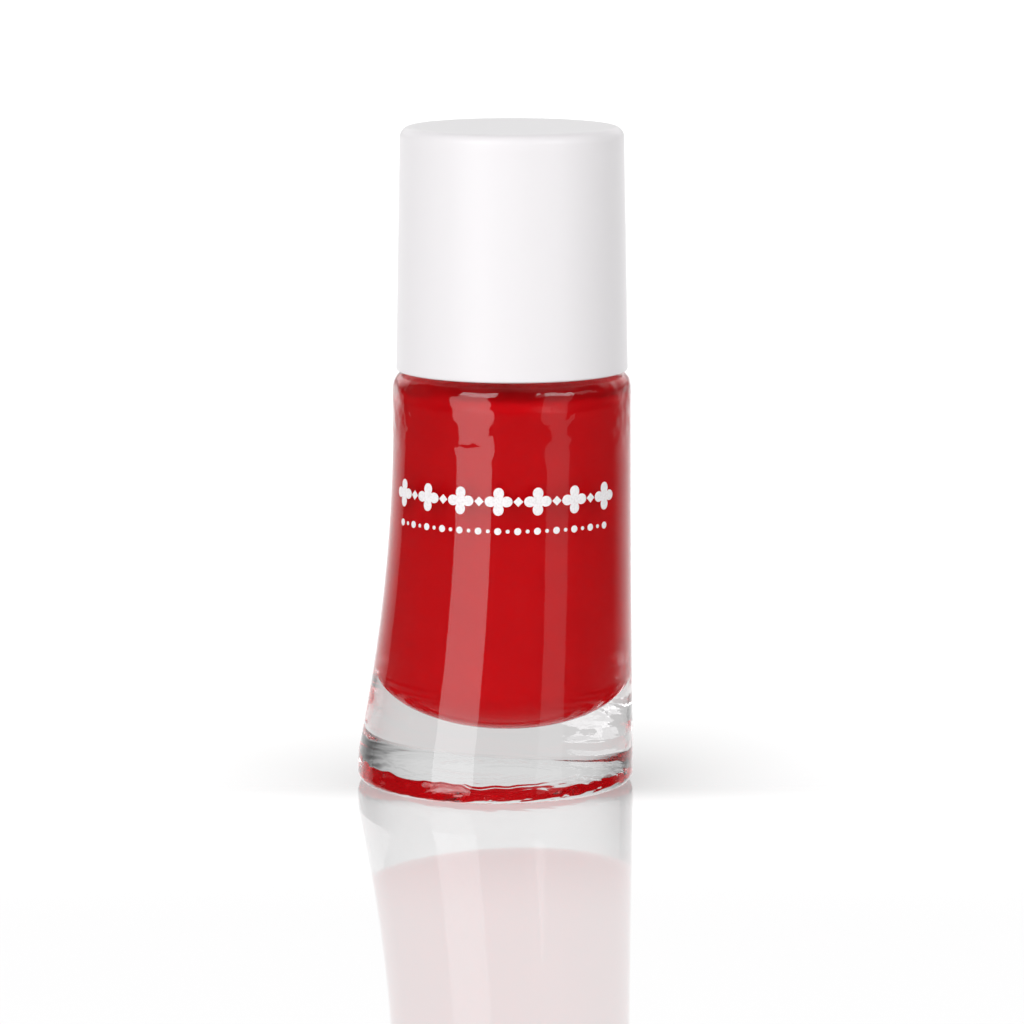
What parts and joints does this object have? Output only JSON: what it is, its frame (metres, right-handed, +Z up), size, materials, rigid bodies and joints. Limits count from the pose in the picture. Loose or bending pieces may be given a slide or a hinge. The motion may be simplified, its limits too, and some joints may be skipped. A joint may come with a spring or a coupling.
{
  "type": "nail polish bottle",
  "caption": "Round clear-glass bottle with a thick foot that flares to one side, holding coloured lacquer under a tall plain screw cap that carries the brush.",
  "frame": {"origin": "centre of the round foot, on the surface that the bottle stands on", "axes": "+Z up along the bottle; -Y is the front; the body flares towards -X, so the neck and cap axis is parallel to Z at x = +1.7 mm"},
  "size_m": [0.0284, 0.0284, 0.0675],
  "materials": {
    "clear_glass": "clear, moulded, fire-polished",
    "red_lacquer": "opaque wet gloss",
    "steel": "polished",
    "white_cap": "glossy, moulded",
    "natural_plastic": "satin, unpigmented",
    "seal_foam": "soft matt",
    "stem_plastic": "satin",
    "nylon_bristle": "fine filaments",
    "staple_brass": "bright strip"
  },
  "bodies": {
    "bottle": {"bottle": "clear_glass", "lacquer": "red_lacquer", "mixing_ball_front": "steel", "mixing_ball_back": "steel"},
    "seal": {"sealing_washer": "seal_foam"},
    "brush": {"brush_stem": "stem_plastic", "brush_bristles": "nylon_bristle", "brush_staple": "staple_brass"},
    "cap": {"outer_cap": "white_cap", "inner_cap": "natural_plastic"}
  },
  "joints": [
    {"name": "cap_lift", "type": "slide", "parent": "bottle", "child": "seal", "axis": [0, 0, 1], "range_m": [0, 0.06]},
    {"name": "cap_rise", "type": "slide", "parent": "seal", "child": "brush", "axis": [0, 0, 1], "range_m": [0, 0.00339]},
    {"name": "cap_turn", "type": "hinge", "parent": "brush", "child": "cap", "pos_m": [0.0017, 0, 0.055], "axis": [0, 0, 1], "range_deg": [0, 576]}
  ],
  "couplings": [
    {"joint": "cap_rise", "follows": "cap_turn", "m_per_rad": 0.00033693}
  ]
}
